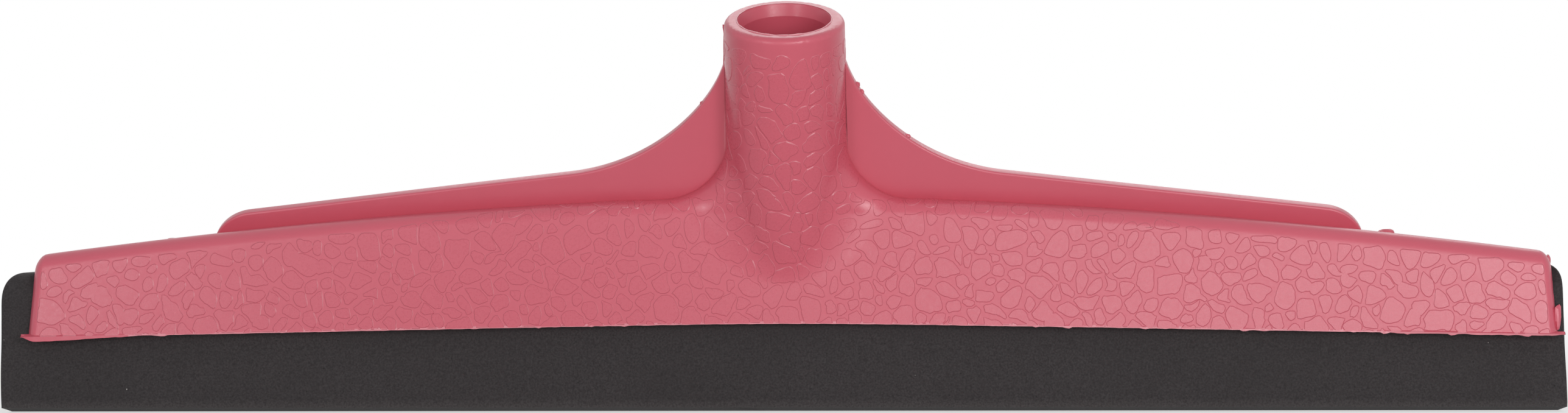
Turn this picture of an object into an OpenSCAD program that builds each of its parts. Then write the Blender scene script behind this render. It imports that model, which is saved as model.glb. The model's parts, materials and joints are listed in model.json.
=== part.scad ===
// Floor squeegee head: a moulded housing with a leaning handle socket, a folded foam blade and a core strip.
// Millimetres. X runs along the blade, -Y is the front, Z is up and z = 0 is the floor under the two lips.

/* [Housing] */
// Length of the housing along its bottom edge
housing_len = 440; // [300:1:600]
// Wall on each side of the blade channel, at the bottom edge
wall = 3.2; // [2.6:0.1:5]
// Inward lean of the front and rear walls, in degrees
wall_draft = 4; // [1:0.5:5]
// Inward lean of each end over the height of the housing
end_lean = 2; // [0.5:0.1:4]
// Radius of the long shoulders and of the end corners
shoulder_r = 5; // [2:0.5:6]
// Height of the bottom edge at the two ends
edge_z = 22; // [20:0.5:26]
// Rise of the bottom edge at the middle
edge_bow = 3.7; // [0.5:0.1:5]
// Softness of the bend in the middle of the bottom edge
edge_soft = 30; // [5:1:80]
// Thickness of the roof over the blade channel, at the two ends
end_roof = 5.8; // [3:0.1:8]
// Rise of the ridge at the middle
ridge_rise = 15; // [10:0.2:26]

/* [Cored cells] */
// Cells on each side of the socket
cell_count = 6; // [3:1:9]
// Thickness of the ribs between the cells
rib_t = 2; // [1.5:0.1:3.5]
// Thickness of the roof and of the side walls over the cells
cell_wall = 2.8; // [2:0.1:4]
// Solid length between the last cell and the end of the housing
cell_end = 20; // [12:1:30]
// Solid web under the bottom of the bore
bore_web = 8; // [3:0.5:10]

/* [Grip teeth] */
// Height of a tooth
tooth_h = 1.2; // [0.6:0.1:1.8]
// Width of a tooth at its root
tooth_w = 2.4; // [1.6:0.1:3]
// Teeth on each wall of the channel
tooth_count = 2; // [1:1:2]
// Distance between teeth
tooth_pitch = 4; // [3.2:0.2:4.6]
// Height of the lowest tooth above the bottom edge at the middle
tooth_rise = 2.9; // [2:0.1:4]

/* [Handle socket] */
// Diameter of the handle that the socket takes
handle_d = 24; // [20:0.5:28]
// Clearance around the handle, on the radius
handle_clear = 0.15; // [0.1:0.05:0.4]
// Wall of the socket at its mouth
socket_wall = 5; // [3.5:0.1:7]
// Growth of the socket's radius from its mouth to its root
socket_taper = 0.5; // [0.2:0.1:1.5]
// Lean of the socket towards the front, in degrees
socket_lean = 22.6; // [12:0.2:30]
// Distance below the ridge at which the socket's axis crosses the middle plane
socket_drop = 14.3; // [12:0.1:18]
// Length of the axis from that point to the mouth
socket_len = 71.3; // [60:0.1:90]
// Length of the root that runs on below that point, inside the housing
socket_root = 6; // [5:0.5:8]
// Depth of the bore from the mouth
bore_depth = 55; // [35:1:58]
// Depth of the lead-in at the mouth of the bore
lead_depth = 3.3; // [1:0.1:6]
// Widening of the lead-in, on the radius
lead_r = 0.95; // [0.3:0.05:1.5]
// Radius of the outer edge of the rim
rim_r = 2; // [0.5:0.1:2.4]

/* [Fins] */
// Thickness of the fins
fin_t = 3.6; // [2.4:0.1:6]
// Distance from the end of the housing to the end of a fin
fin_setback = 53.5; // [30:0.5:80]
// Height of a fin over the ridge, near its outer end
fin_end_h = 7.5; // [5:0.1:12]
// Radius of the outer end of a fin
fin_end_r = 6; // [2:0.1:8]
// Slope of the top edge of a fin, in degrees
fin_slope = 7; // [5:0.2:9]
// Distance from the socket's axis at which the concave sweep begins
fin_sweep_x = 62.4; // [50:0.2:75]
// Radius of the concave sweep
fin_sweep_r = 58; // [48:0.5:66]
// Turn of the concave sweep, in degrees
fin_sweep = 57; // [50:1:60]
// Radius of the webs that fill the corners beside the socket
web_r = 17; // [8:0.5:22]
// Thickness of those webs
web_t = 14; // [6:0.5:18]

/* [Foam blade] */
// Length of blade that stands out past the housing, both ends together
blade_overhang = 10; // [4:1:30]
// Offset of the blade along its channel
blade_shift = -2.9; // [-10:0.1:10]
// Thickness of the foam strip
foam_t = 12.2; // [8:0.2:16]
// Height of the top of the fold
fold_z = 39.5; // [38:0.5:44]
// Outer radius of the fold's two corners
fold_r = 7; // [4:0.5:9]
// Distance below the bottom edge of the housing at which the lips begin to splay
splay_drop = 0.5; // [0.3:0.1:3]
// Outward lean of the lips, in degrees
lip_splay = 9; // [6:0.5:16]
// Depth of the worn flat under each lip
land_cut = 0.3; // [0.2:0.05:0.8]
// Radius of the drawn-in top corners at the ends of the blade
blade_corner_r = 6; // [3:0.5:9]
// Clearance between the blade and its channel
blade_clear = 0.3; // [0.2:0.05:0.6]

/* [Core strip] */
// Thickness of the strip inside the fold
core_t = 2.4; // [1.5:0.1:4]
// Height of the strip
core_h = 18; // [12:0.5:22]
// Length of fold left empty at each end of the strip
core_inset = 5; // [2:0.5:15]
// Clearance between the strip and the fold
core_clear = 0.3; // [0.2:0.05:0.6]

/* [Hidden] */
eps = 0.02;
over = 1;
far = 60;
arc_steps = 6;
corner_steps = 3;
sweep_steps = 12;
ridge_slices = 10;
bow_steps = 20;
round_fn = 96;

// Blade section
slot_w = core_t + 2 * core_clear;
blade_half = foam_t + slot_w / 2;
blade_len = housing_len + blade_overhang;
slot_top_z = fold_z - foam_t;
splay_z = edge_z - splay_drop;

// Channel and housing section
channel_half = blade_half + blade_clear;
channel_top_z = fold_z + blade_clear;
channel_r = fold_r + blade_clear;
depth_half = channel_half + wall;
house_half = housing_len / 2;
top_half = house_half - end_lean;
ridge_end_z = channel_top_z + end_roof;
ridge_mid_z = ridge_end_z + ridge_rise;
function ridge_z(x) = ridge_end_z + ridge_rise * (1 - pow(x / top_half, 2));
function bend(x) = sqrt(x * x + edge_soft * edge_soft) - edge_soft;
function edge_at(x) = edge_z + edge_bow * (1 - bend(x) / bend(house_half));
function half_at(z) = depth_half - (z - edge_z) * tan(wall_draft);

// Socket, measured along its axis from the middle plane
bore_r = handle_d / 2 + handle_clear;
socket_r = bore_r + socket_wall;
root_r = socket_r + socket_taper;
root_z = ridge_mid_z - socket_drop;
bore_end = socket_len - bore_depth;
function along(z) = (z - root_z) / cos(socket_lean);

// Cells
cell_half = half_at(ridge_mid_z) - cell_wall;
cell_low_z = channel_top_z - channel_r;
cell_start = root_r + rib_t;
cell_pitch = (house_half - cell_end + rib_t - cell_start) / cell_count;
mid_cell_top = root_z + (bore_end - bore_web) * cos(socket_lean) - cell_half * sin(socket_lean);

// Fins
fin_embed = cell_wall / 2;
web_entry = 10;
fin_end_x = house_half - fin_setback;
fin_top_w = along(ridge_z(fin_end_x)) + fin_end_h;

// Points of an arc about a centre, from one angle to another
function arc(c, r, a0, a1, n) =
    [for (i = [0 : n]) let (a = a0 + (a1 - a0) * i / n) c + r * [cos(a), sin(a)]];
function mirrored(pts) = [for (i = [len(pts) - 1 : -1 : 0]) [-pts[i][0], pts[i][1]]];

// Closed arch outline in Y and Z with rounded top corners
function arch(half_low, low_z, half_top, top_z, r) =
    let (right = concat([[half_low, low_z]], arc([half_top - r, top_z - r], r, 0, 90, arc_steps)))
    concat(right, mirrored(right));

// Draws an outline of Y and Z points along X, or of X and Z points along Y
module along_x(length) {
    rotate([90, 0, 90]) linear_extrude(height = length, center = true) children();
}
module along_y(length) {
    rotate([90, 0, 0]) linear_extrude(height = length, center = true) children();
}

// Places children in the leaning plane of the socket, with local Y along its axis
module in_socket_plane(thickness) {
    translate([0, 0, root_z]) rotate([90 + socket_lean, 0, 0])
        linear_extrude(height = thickness, center = true) children();
}

// Places children with local Z along the axis of the socket
module on_socket_axis(w) {
    translate([0, 0, root_z]) rotate([socket_lean, 0, 0]) translate([0, 0, w]) children();
}

// Outer form of the housing's body
module body_slice(x, top) {
    translate([x, 0, 0]) along_x(eps)
        polygon(arch(depth_half, edge_z, half_at(top), top, shoulder_r));
}

module body_form() {
    inner = top_half - shoulder_r;
    hull() {
        translate([-house_half, -depth_half, edge_z]) cube([housing_len, 2 * depth_half, eps]);
        for (i = [0 : ridge_slices]) {
            x = inner * (2 * i / ridge_slices - 1);
            body_slice(x, ridge_z(x));
        }
        for (side = [-1, 1], i = [1 : corner_steps]) {
            t = 90 * i / corner_steps;
            x = inner + shoulder_r * sin(t);
            body_slice(side * x, ridge_z(x) - shoulder_r * (1 - cos(t)));
        }
    }
}

// The bow under the bottom edge
module bow_cut() {
    edge = [for (i = [0 : bow_steps]) let (x = house_half * (2 * i / bow_steps - 1)) [x, edge_at(x)]];
    along_y(2 * far) polygon(concat([[house_half, edge_z - far], [-house_half, edge_z - far]], edge));
}

// A tooth, or its groove when grown by a clearance
function tooth_z(i) = edge_z + edge_bow + tooth_rise + i * tooth_pitch;
module teeth(grow, length) {
    tip = channel_half - tooth_h - grow;
    half_w = tooth_w / 2 + grow;
    for (side = [-1, 1], i = [0 : tooth_count - 1])
        along_x(length)
            polygon([[side * (channel_half + over), tooth_z(i) - half_w * (1 + over / tooth_h)],
                     [side * tip, tooth_z(i)],
                     [side * (channel_half + over), tooth_z(i) + half_w * (1 + over / tooth_h)]]);
}

module channel() {
    length = housing_len + 2 * over;
    difference() {
        along_x(length)
            polygon(arch(channel_half, edge_z - over, channel_half, channel_top_z, channel_r));
        teeth(0, length + 2 * over);
    }
}

// Cored cells between the ribs that the fold seats against
module cell(x0, x1, top0, top1) {
    along_y(2 * cell_half) polygon([[x0, cell_low_z], [x1, cell_low_z], [x1, top1], [x0, top0]]);
}

module cells() {
    for (side = [0, 1]) mirror([side, 0, 0]) {
        cell(rib_t / 2, cell_start - rib_t, mid_cell_top, mid_cell_top);
        for (i = [0 : cell_count - 1]) {
            x0 = cell_start + i * cell_pitch;
            x1 = x0 + cell_pitch - rib_t;
            cell(x0, x1, ridge_z(x0) - cell_wall, ridge_z(x1) - cell_wall);
        }
    }
}

// Socket with a rounded rim, cut flush inside the rear wall
module socket_form() {
    rim = arc([socket_r - rim_r, socket_len - rim_r], rim_r, 0, 90, arc_steps);
    rear = half_at(ridge_mid_z) - fin_embed;
    intersection() {
        on_socket_axis(0) rotate_extrude($fn = round_fn)
            polygon(concat([[0, -socket_root], [root_r, -socket_root]], rim, [[0, socket_len]]));
        translate([-far, rear - 3 * far, 0]) cube([2 * far, 3 * far, 4 * far]);
    }
}

module bore_cut() {
    lead_out_r = bore_r + lead_r * (1 + over / lead_depth);
    on_socket_axis(bore_end) cylinder(r = bore_r, h = bore_depth + over, $fn = round_fn);
    on_socket_axis(socket_len - lead_depth)
        cylinder(r1 = bore_r, r2 = lead_out_r, h = lead_depth + over, $fn = round_fn);
}

// Fin outline: rounded outer end, sloping top edge and a concave sweep up the socket
module fin_outline() {
    n = [sin(fin_slope), cos(fin_slope)];
    e = [-cos(fin_slope), sin(fin_slope)];
    end_c = [fin_end_x - fin_end_r, fin_top_w - fin_end_r];
    sweep_w = fin_top_w + (end_c[0] - fin_sweep_x) * tan(fin_slope);
    sweep_c = [fin_sweep_x, sweep_w] + fin_sweep_r * n;
    sweep = [for (i = [0 : sweep_steps]) let (a = fin_sweep * i / sweep_steps)
        sweep_c + fin_sweep_r * (sin(a) * e - cos(a) * n)];
    base = [for (i = [0 : ridge_slices]) let (x = fin_end_x * i / ridge_slices)
        [x, along(ridge_z(x) - fin_embed)]];
    outer_end = arc(end_c, fin_end_r, 0, 90 - fin_slope, arc_steps);
    polygon(concat(base, outer_end, sweep, [[0, sweep[sweep_steps][1]]]));
}

// Concave web in the corner between the socket and the ridge
module web_outline() {
    c = [root_r - fin_embed + web_r, along(ridge_z(root_r + web_r)) + web_r];
    low = along(ridge_z(root_r + web_r) - fin_embed);
    top = arc(c, web_r, 180 + web_entry, 270, arc_steps);
    polygon(concat([[0, low], [0, top[0][1]]], top, [[c[0], low]]));
}

module fins() {
    for (side = [0, 1]) mirror([side, 0, 0]) {
        in_socket_plane(fin_t) fin_outline();
        in_socket_plane(web_t) web_outline();
    }
}

module housing() {
    color([0.80, 0.43, 0.48]) difference() {
        union() {
            body_form();
            fins();
            socket_form();
        }
        bow_cut();
        channel();
        cells();
        bore_cut();
    }
}

// Right half of the blade's section, from the top of the fold down the outside and up the slot
function blade_half_outline() =
    let (lean = tan(lip_splay))
    let (inner_y = slot_w / 2 + splay_z * lean)
    let (corner_y = slot_w / 2 + (splay_z + land_cut) * lean)
    let (land_y = corner_y + land_cut / lean)
    let (tip_z = foam_t * sin(lip_splay) * cos(lip_splay) - land_cut)
    let (tip_y = corner_y + foam_t * pow(cos(lip_splay), 2))
    concat(mirrored(arc([fold_r - blade_half, fold_z - fold_r], fold_r, 180, 90, arc_steps)),
        [[blade_half, splay_z], [tip_y, tip_z], [land_y, 0], [inner_y, 0], [slot_w / 2, splay_z],
         [slot_w / 2, slot_top_z]]);

module foam_blade() {
    side = blade_half_outline();
    corner_c = [blade_len / 2 - blade_corner_r, fold_z - blade_corner_r];
    corner = arc(corner_c, blade_corner_r, 0, 90, arc_steps);
    ends = concat([[blade_len / 2, -over]], corner);
    color([0.24, 0.22, 0.23]) translate([blade_shift, 0, 0]) difference() {
        intersection() {
            along_x(blade_len + 2 * over) polygon(concat(side, mirrored(side)));
            along_y(2 * far) polygon(concat(ends, mirrored(ends)));
        }
        teeth(blade_clear * sqrt(2), blade_len + 2 * over);
    }
}

module core_strip() {
    top = slot_top_z - core_clear;
    length = blade_len - 2 * core_inset;
    color([0.86, 0.84, 0.78]) translate([blade_shift - length / 2, -core_t / 2, top - core_h])
        cube([length, core_t, core_h]);
}

housing();
foam_blade();
core_strip();
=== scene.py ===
# Floor squeegee head dressed around its CAD frame: millimetres, but metres for camera and lamps
import json
import math

import bmesh
import bpy
import numpy as np
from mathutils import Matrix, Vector


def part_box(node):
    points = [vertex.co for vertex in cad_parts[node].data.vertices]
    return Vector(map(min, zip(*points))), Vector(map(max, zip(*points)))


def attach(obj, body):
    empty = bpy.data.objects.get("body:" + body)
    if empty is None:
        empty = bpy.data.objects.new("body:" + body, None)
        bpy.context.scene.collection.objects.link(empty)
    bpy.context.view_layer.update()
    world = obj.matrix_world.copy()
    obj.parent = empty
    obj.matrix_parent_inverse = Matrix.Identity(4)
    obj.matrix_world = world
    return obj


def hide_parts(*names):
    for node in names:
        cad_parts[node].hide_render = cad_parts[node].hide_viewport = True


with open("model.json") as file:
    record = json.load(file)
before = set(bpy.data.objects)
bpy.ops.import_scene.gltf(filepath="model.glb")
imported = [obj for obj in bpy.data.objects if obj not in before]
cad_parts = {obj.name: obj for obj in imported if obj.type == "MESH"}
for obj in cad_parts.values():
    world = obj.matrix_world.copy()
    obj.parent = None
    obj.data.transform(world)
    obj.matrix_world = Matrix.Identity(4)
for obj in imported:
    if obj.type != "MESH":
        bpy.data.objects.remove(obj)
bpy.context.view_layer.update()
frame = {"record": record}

# Sizes read from the frame
MM = 0.001


def box_mm(node):
    low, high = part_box(node)
    return np.array(low) / MM, np.array(high) / MM


house_low, house_high = box_mm("housing")
blade_low, blade_high = box_mm("foam_blade")
core_low, core_high = box_mm("core_strip")
bore = next(m for m in frame["record"]["mounts"] if m["name"] == "handle_socket")
bore_mid = np.array(bore["pos_m"]) / MM
AXIS = np.array(bore["axis"])
FRONT = np.array([0, -AXIS[2], AXIS[1]])
ROOT = bore_mid - AXIS * bore_mid[1] / AXIS[1]
BORE_R = bore["dims"]["r_mm"]
HOUSE_HALF = house_high[0]
DEPTH_HALF = house_high[1]
EDGE_END = house_low[2]

# Housing body
WALL = 3.2
WALL_DRAFT = math.radians(4)
END_LEAN = 2
SHOULDER_R = 4.6
END_R = 3.2
EDGE_BOW = 3.7
EDGE_SOFT = 30
EDGE_SPARE = 7
RIDGE_END = 45.6
RIDGE_RISE = 16.4
RIDGE_POWER = 1.75
TOP_HALF = HOUSE_HALF - END_LEAN
BODY_LOW = EDGE_END - EDGE_SPARE
GRID_X, GRID_Z = (22, 46, 206), (32, 64, 98)
GRID_SHIFT = (0.0137, 0.0171, 0.0093)

# Handle socket, measured along its axis from the middle plane
LEAD_DEPTH = 3.3
LEAD_R = 0.95
BORE_MID = np.linalg.norm(bore_mid - ROOT)
BORE_LEN = bore["dims"]["length_mm"]
BORE_END = BORE_MID - BORE_LEN / 2
BORE_ROUND = 0.6
SOCKET_LEN = BORE_MID + BORE_LEN / 2 + LEAD_DEPTH
SOCKET_WALL = 5
SOCKET_R = BORE_R + SOCKET_WALL
SOCKET_TAPER = 0.5
SOCKET_ROOT = 6
RIM_R = 1.8
MOUTH_R = BORE_R + LEAD_R
COWL_R = 17
COWL_FADE = (-0.7, -0.2)
FOOT_OUT = 5
FOOT_Y = -DEPTH_HALF - FOOT_OUT
FOOT_Z = 26
FOOT_LEAN = math.radians(44)

# Fins
FIN_T = 3.6
FIN_EDGE_R = 0.7
FIN_LEDGE = 0.6
FIN_SETBACK = 53.5
FIN_END = HOUSE_HALF - FIN_SETBACK
FIN_END_R = 11.5
FIN_END_RUN = 13
FIN_END_H = 7.5
FIN_END_STOP = 8
FIN_SLOPE = math.radians(7)
FIN_SWEEP_X = 62.4
FIN_SWEEP_R = 58
FIN_SWEEP = math.radians(57)
FIN_EMBED = 3
FIN_BEND = (90, 150)
FIN_DRIFT = 0.8
FIN_RISE = 0.25
FIN_LIFT = 2.1
FIN_LIFT_RUN = 1.8
FIN_CORE_FACE = 0.05
FIN_CORE_RIM = 2

# Channel for the blade with its grip teeth, and the cells above it
BLADE_GAP = 0.3
FOLD_R = 7
CHANNEL_HALF = DEPTH_HALF - WALL
CHANNEL_TOP = blade_high[2] + BLADE_GAP
CHANNEL_R = FOLD_R + BLADE_GAP
TOOTH_H = 1.2
TOOTH_W = 2.4
TOOTH_UNDERCUT = 0.02
TOOTH_SHORT = 4
TOOTH_RISE = 2.9
TOOTH_PITCH = 4
TOOTH_Z = [EDGE_END + EDGE_BOW + TOOTH_RISE + k * TOOTH_PITCH for k in (0, 1)]
CELL_COUNT = 6
CELL_WALL = 2.8
CELL_RIB = 2
CELL_END = 20
BORE_WEB = 8

# Foam blade
BLADE_HALF = CHANNEL_HALF - BLADE_GAP
CORE_GAP = 0.3
SLOT_HALF = core_high[1] + CORE_GAP
FOAM_T = BLADE_HALF - SLOT_HALF
FOLD_TOP = blade_high[2]
SLOT_TOP = FOLD_TOP - FOAM_T
SPLAY_DROP = 2.5
SPLAY_Z = EDGE_END - SPLAY_DROP
SPLAY_SOFT = 3
LIP_SPLAY = math.radians(9)
LAND_CUT = 0.3
LAND_W = 1.9
GROOVE_ROOM = 0.42
GROOVE = TOOTH_H + GROOVE_ROOM - BLADE_GAP
FOAM_BUMPS = ((0.16, 21, 81), (0.07, 6, 82))
FOAM_HELD = 0.15

# Ends of the foam blade, where it is drawn in and swells past the housing
LEFT_PUFF, RIGHT_PUFF = 1.0, 2.8
LEFT_FOOT, RIGHT_FOOT = (0.8, 16), (0.5, 2.5)
LEFT_LEAN, RIGHT_LEAN = 0, 0.028
LEFT_CORNER, RIGHT_CORNER = 11, 7
LEAN_Z = 10
CORNER_DEPTH = 7
CORNER_OVER = 0.2
PUFF_FROM, PUFF_TO = HOUSE_HALF - 0.2, HOUSE_HALF + 2
DRAW_RUN = 15
END_ROWS = (0, 0.12, 0.4, 1, 1.8, 2.7, 3.7, 5, 6.4, 8, 10, 12, 14)
END_ROUND = ((0, 0.12, 0.4), (0.5, 0.18, 0))
ROW_START, ROW_STEP = 17, 3.4

# Core strip
CORE_EDGE_R = 0.8
CORE_CORNER_R = 3
CORE_THINNED = 0.3
CORE_LINES = 8
CORE_LINE_MARGIN = 2
CORE_LINE_HALF = 0.5
CORE_LINE_DEPTH = 0.14
CORE_ROWS = (0, 0.1, 0.35, 0.8, 1.4, 2.2, 3)
CORE_PLAIN, CORE_PLAIN_ROWS = 12, 40

# Moulding flash along the bottom edges and past the ends of the housing
FLASH_END = 1.3
FLASH_STEP = 0.95
FLASH_HANG, FLASH_OUT = 0.12, 0.06
FLASH_INNER, FLASH_INNER_LESS = 1.2, 0.85
LUMP_HANG, LUMP_OUT = 0.4, 0.25
LUMP_SHARE = (0.72, 0.97)
LIP_LEFT, LIP_RUN = 187, 27
LIP_HANG, LIP_OUT = 1.2, 0.9
LIP_RIGHT, LIP_RIGHT_RUN = 172, 2
LIP_RIGHT_HANG, LIP_RIGHT_OUT = 0.15, 0.6
LIP_NOTCH, LIP_NOTCH_DEPTH = 193, 0.8
LIP_FACE = 3
SEAM_START, SEAM_RUN = 50, 4
SEAM_STOP = 1.5
SLIVER_POINTS = 40

# Colours, light and camera
PINK = (0.645, 0.113, 0.162, 1)
PINK_DEEP = (0.62, 0.105, 0.15, 1)
# Painted shade on the upper part of the island steps
PINK_STEP_SHADE = (0.38, 0.042, 0.07, 1)
# Painted highlight at the foot of the island steps
PINK_STEP_HIGHLIGHT = (0.74, 0.24, 0.29, 1)
# Painted highlight on the thin film
PINK_FILM_HIGHLIGHT = (0.78, 0.3, 0.35, 1)
PINK_SPECK = (0.85, 0.7, 0.72, 1)
PINK_SPECULAR = 0.54
PINK_ROUGH, PINK_ROUGH_RAISED = 0.34, 0.285
FOAM_DARK = (0.0295, 0.025, 0.0262, 1)
FOAM_LIGHT = (0.0385, 0.033, 0.0345, 1)
FOAM_GRAIN = (0.0205, 0.017, 0.018, 1)
FOAM_PORE = (0.012, 0.010, 0.010, 1)
# Painted highlight along the blade's bottom edge
FOAM_EDGE_HIGHLIGHT = (0.06, 0.053, 0.053, 1)
FOAM_DUST = (0.4, 0.37, 0.36, 1)
CORE_DARK = (0.66, 0.63, 0.54, 1)
CORE_LIGHT = (0.73, 0.7, 0.61, 1)
FLOOR_WHITE = (0.93, 0.93, 0.93, 1)
FLOOR_HALF = 9000
WHITE = (1, 1, 1, 1)
WORLD_LIGHT = 0.34
CAMERA_PLACE = (0.0356, -1.0016, 0.05909)
CAMERA_TURNS = (90, 0.18, 2.107)
CAMERA_SENSOR, CAMERA_LENS = 36, 78.97

# Pebble relief
RELIEF_H = 0.13
RELIEF_SIDE = 0.27
RELIEF_FOOT = 0.03
RELIEF_SINK = 0.3
RELIEF_CLEAR = 1.5
RELIEF_MERGE, RELIEF_OVERLAP = 0.03, 0.35
RELIEF_GAP, RELIEF_GAP_MORE = 0.4, 0.5
RELIEF_WARP = ((7, 1.5), (3.0, 1.05), (1.3, 0.42))
RELIEF_STEP = 0.85
RELIEF_STEP_REAR = 1.3
RELIEF_RINGS = ((), (0.55,), (0.7, 0.35))
RELIEF_EVEN = (0.9998, 0.97)
RELIEF_NEAR = 1.5 * RELIEF_H
ISLAND_TRIES = 36000
ISLAND_R, ISLAND_R_MORE, ISLAND_R_SKEW = 1.5, 2, 1.3
ISLAND_PACK = 0.92
ISLAND_REACH = 1.9
ISLAND_NEIGHBOUR = 14
ISLAND_CORNERS = 14
ISLAND_POINTS = (9, 34)
ISLAND_LEAST = 2.5
NEAR_FIN, NEAR_PLAIN = 12, 8

# Zones without relief
PLAIN_TOP, PLAIN_TOP_MORE = 0.2, 4.2
PLAIN_TOP_RUN = (60, 140)
PLAIN_SOCKET = 4
PLAIN_END = 3
PLAIN_MOUTH = 5
PLAIN_RAGGED, PLAIN_RAGGED_SIZE = 1.3, 4.6

OVER = 3
SEED = 11


# Small helpers
def step(a, b, t):
    t = np.clip((np.asarray(t, float) - a) / (b - a), 0, 1)
    return t * t * (3 - 2 * t)


def lattice(i, j, k, seed):
    h = (i * 374761393 + j * 668265263 + k * 974634541 + seed * 1103515245) & 0xFFFFFFFF
    h = ((h ^ (h >> 13)) * 1274126177) & 0xFFFFFFFF
    return ((h ^ (h >> 16)) & 0xFFFF) / 32767.5 - 1


def noise(p, size, seed):
    """Smooth value noise from -1 to 1 at points p, with cells of that size."""
    q = np.asarray(p, float) / size
    cell = np.floor(q).astype(np.int64)
    t = q - cell
    t = t * t * (3 - 2 * t)
    total = np.zeros(q.shape[:-1])
    for a, b, c in np.ndindex(2, 2, 2):
        share = np.where(a, t[..., 0], 1 - t[..., 0]) * np.where(b, t[..., 1], 1 - t[..., 1])
        share = share * np.where(c, t[..., 2], 1 - t[..., 2])
        total += share * lattice(cell[..., 0] + a, cell[..., 1] + b, cell[..., 2] + c, seed)
    return total


def wave(x, size, seed):
    x = np.asarray(x, float)
    return noise(np.stack([x, 0 * x, 0 * x], -1), size, seed)


def add_object(name, points, faces):
    mesh = bpy.data.meshes.new(name)
    mesh.from_pydata((np.asarray(points) * MM).tolist(), [], [list(map(int, f)) for f in faces])
    mesh.update()
    thing = bpy.data.objects.new(name, mesh)
    bpy.context.scene.collection.objects.link(thing)
    return thing


def combine(target, tool, operation):
    """Joins or cuts a closed mesh with another, which is used up."""
    modifier = target.modifiers.new("combine", "BOOLEAN")
    modifier.operation = operation
    modifier.solver = "MANIFOLD"
    modifier.object = tool
    graph = bpy.context.evaluated_depsgraph_get()
    made = bpy.data.meshes.new_from_object(target.evaluated_get(graph))
    target.modifiers.clear()
    old = target.data
    target.data = made
    bpy.data.meshes.remove(old)
    used = tool.data
    bpy.data.objects.remove(tool)
    bpy.data.meshes.remove(used)


def shade(thing, angle):
    thing.data.shade_smooth()
    thing.data.set_sharp_from_angle(angle=math.radians(angle))


def add_solid(name, points, faces):
    """Adds a closed mesh, turned so that its faces look outwards."""
    points = np.asarray(points, float)
    fans = np.array([(f[0], b, c) for f in faces for b, c in zip(f[1:-1], f[2:])])
    a, b, c = (points[fans[:, k]] for k in range(3))
    inside_out = (a * np.cross(b, c)).sum() < 0
    return add_object(name, points, [f[::-1] for f in faces] if inside_out else faces)


def prism(name, outline, place):
    """Closed prism: each outline point is placed at both ends."""
    n = len(outline)
    points = [place(a, b, end) for end in (-1, 1) for a, b in outline]
    sides = [(i, (i + 1) % n, n + (i + 1) % n, n + i) for i in range(n)]
    caps = [tuple(range(n - 1, -1, -1)), tuple(range(n, 2 * n))]
    return add_solid(name, points, sides + caps)


def along_x(length, middle=0):
    return lambda y, z, end: (middle + end * length / 2, y, z)


def along_y(length):
    return lambda x, z, end: (x, -end * length / 2, z)


def arc(cx, cy, r, a0, a1, n):
    angles = np.radians(np.linspace(a0, a1, n + 1))
    return [(cx + r * math.cos(a), cy + r * math.sin(a)) for a in angles]


def mirrored(outline):
    return [(-a, b) for a, b in reversed(outline)]


def bands(rows, count, closed=False, turned=False):
    """Quads between neighbouring rows of that many points, where each row closes on itself."""
    faces = []
    for r in range(rows if closed else rows - 1):
        s = (r + 1) % rows
        for i in range(count):
            j = (i + 1) % count
            quad = (r * count + i, s * count + i, s * count + j, r * count + j)
            faces.append(quad[:1] + quad[:0:-1] if turned else quad)
    return faces


def socket_ring(turn):
    """Directions around the socket's axis."""
    return np.stack([np.cos(turn), np.sin(turn) * FRONT[1], np.sin(turn) * FRONT[2]], -1)


# Lines of the housing
def ridge_z(x):
    return RIDGE_END + RIDGE_RISE * (1 - (np.abs(x) / TOP_HALF) ** RIDGE_POWER)


def bend(x):
    return np.sqrt(x * x + EDGE_SOFT ** 2) - EDGE_SOFT


def edge_z(x):
    return EDGE_END + EDGE_BOW * (1 - bend(x) / bend(HOUSE_HALF))


def half_depth(z):
    return DEPTH_HALF - (z - EDGE_END) * math.tan(WALL_DRAFT)


def half_length(z):
    return HOUSE_HALF - (z - EDGE_END) * END_LEAN / (RIDGE_END - EDGE_END)


def along_axis(z):
    return (z - ROOT[2]) / AXIS[2]


# Top edge of a fin in the socket's leaning plane, from the middle outwards
def fin_top_line():
    n = np.array([math.sin(FIN_SLOPE), math.cos(FIN_SLOPE)])
    e = np.array([-math.cos(FIN_SLOPE), math.sin(FIN_SLOPE)])
    top_w = along_axis(ridge_z(FIN_END)) + FIN_END_H
    end_x = FIN_END - FIN_END_RUN * math.sqrt(1 - (1 - FIN_END_H / FIN_END_R) ** 2)
    sweep_w = top_w + (end_x - FIN_SWEEP_X) * math.tan(FIN_SLOPE)
    centre = np.array([FIN_SWEEP_X, sweep_w]) + FIN_SWEEP_R * n
    turns = np.linspace(FIN_SWEEP, 0, 48)
    sweep = [centre + FIN_SWEEP_R * (math.sin(a) * e - math.cos(a) * n) for a in turns]
    sweep = [p + [0, FIN_LIFT * math.exp(-max(p[0] - SOCKET_R, 0) / FIN_LIFT_RUN)] for p in sweep]
    start = np.array(sweep[-1])
    finish = np.array([end_x + FIN_END_RUN * n[0], top_w - FIN_END_R + FIN_END_R * n[1]])
    straight = [start + (finish - start) * t for t in np.linspace(0, 1, 18)[1:]]
    outer = arc(0, 0, 1, 90 - math.degrees(FIN_SLOPE), FIN_END_STOP, 20)[1:]
    outer = [(end_x + a * FIN_END_RUN, top_w - FIN_END_R + b * FIN_END_R) for a, b in outer]
    return np.array([(0, sweep[0][1])] + sweep + straight + outer)


fin_line = fin_top_line()


# The housing's outer form as fields that are negative inside
def rounded(q, r):
    outer = np.maximum(q, 0)
    return np.sqrt((outer ** 2).sum(-1)) + np.minimum(q.max(-1), 0) - r


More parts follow.
